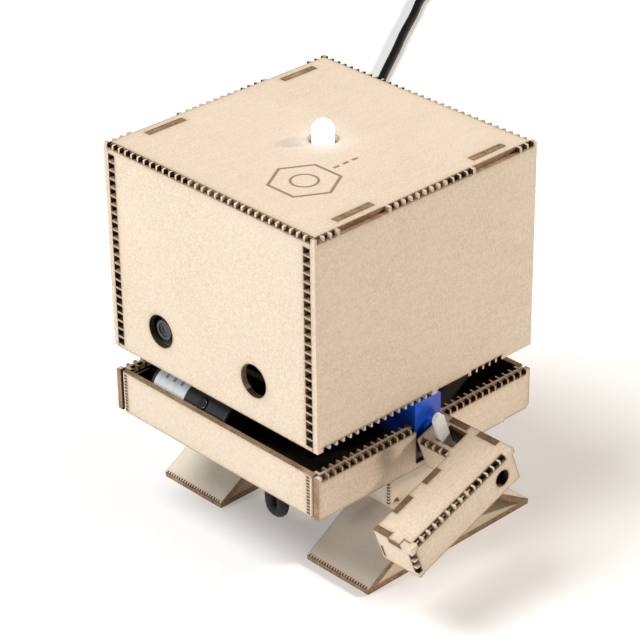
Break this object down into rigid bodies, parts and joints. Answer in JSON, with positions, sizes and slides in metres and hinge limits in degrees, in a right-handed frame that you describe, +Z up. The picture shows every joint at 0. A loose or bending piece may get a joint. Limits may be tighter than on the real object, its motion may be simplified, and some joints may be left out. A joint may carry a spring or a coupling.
{
  "type": "tabletop robot figure",
  "caption": "Box-headed tabletop robot folded from laser-cut card, with a lit LED on top, a jaw tray, two wedge feet and a servo-driven arm.",
  "frame": {"origin": "on the floor, below the middle of the robot's bounding box, cords left out", "axes": "+Z up, the face looks along -Y, the arm is on the +X side"},
  "size_m": [0.4482, 0.4492, 0.1492],
  "materials": {
    "card": "matt chipboard with laser-browned edges",
    "servo_blue": "translucent blue",
    "white_plastic": "satin",
    "black_plastic": "satin",
    "cord_black": "satin",
    "led_lit": "clear lens, lit white",
    "steel": "plated",
    "brass": "bright",
    "board_green": "solder mask",
    "nylon": "natural nylon",
    "button_gloss": "gloss"
  },
  "bodies": {
    "base": {"jaw_side_left": "card", "jaw_side_right": "card", "jaw_front": "card", "jaw_back": "card", "base_plate": "card", "tray": "card", "upright_left": "card", "upright_right": "card", "leg_left": "card", "leg_right": "card", "foot_left": "card", "foot_right": "card", "leg_brace": "card", "servo_cap": "servo_blue", "servo_case": "servo_blue", "servo_cover": "servo_blue", "servo_screws": "steel", "servo_motor": "steel", "gear_pin": "steel", "computer_board": "board_green", "processor": "black_plastic", "usb_ports": "steel", "network_port": "steel", "header_strip": "black_plastic", "hdmi_port": "steel", "power_socket": "steel", "audio_jack": "black_plastic", "card_holder": "steel", "board_standoffs": "brass", "board_screws": "steel", "board_nuts": "steel", "speaker_body": "black_plastic", "speaker_sleeve": "white_plastic", "speaker_lead": "cord_black", "power_plug": "black_plastic", "power_cord": "cord_black", "power_cord_coil": "cord_black", "cord_plug": "black_plastic"},
    "head": {"head_shell": "card", "led_bracket": "card", "led_bulb": "led_lit", "led_legs": "steel", "camera_bracket": "card", "camera_board": "board_green", "camera_lens": "black_plastic", "camera_screws": "steel"},
    "arm": {"servo_shaft": "nylon", "servo_horn": "white_plastic", "horn_screw": "steel", "arm_shell": "card", "arm_inner_brace": "card", "arm_rear_brace": "card"},
    "pinion": {"motor_pinion": "brass"},
    "button": {"speaker_button": "button_gloss"},
    "card": {"memory_card": "black_plastic"},
    "gear": {"middle_gear": "nylon"}
  },
  "joints": [
    {"name": "arm_turn", "type": "hinge", "parent": "base", "child": "arm", "pos_m": [0.0362, 0.0011, 0.0473], "axis": [1, 0, 0], "range_deg": [-70, 110]},
    {"name": "pinion_turn", "type": "hinge", "parent": "base", "child": "pinion", "pos_m": [0.0262, 0.0011, 0.05905], "axis": [1, 0, 0], "range_deg": [-756, 1188]},
    {"name": "head_lift", "type": "slide", "parent": "base", "child": "head", "axis": [0, 0, 1], "range_m": [0, 0.12]},
    {"name": "button_press", "type": "slide", "parent": "base", "child": "button", "axis": [0, 0.766, -0.6428], "range_m": [0, 0.0004], "stiffness_N_per_m": 400},
    {"name": "card_pull", "type": "slide", "parent": "base", "child": "card", "axis": [0, -1, 0], "range_m": [0, 0.008]},
    {"name": "gear_turn", "type": "hinge", "parent": "base", "child": "gear", "pos_m": [0.0262, 0.0011, 0.0533], "axis": [1, 0, 0], "range_deg": [-330, 210]}
  ],
  "couplings": [
    {"joint": "gear_turn", "follows": "arm_turn", "ratio": -3},
    {"joint": "pinion_turn", "follows": "arm_turn", "ratio": 10.8}
  ]
}
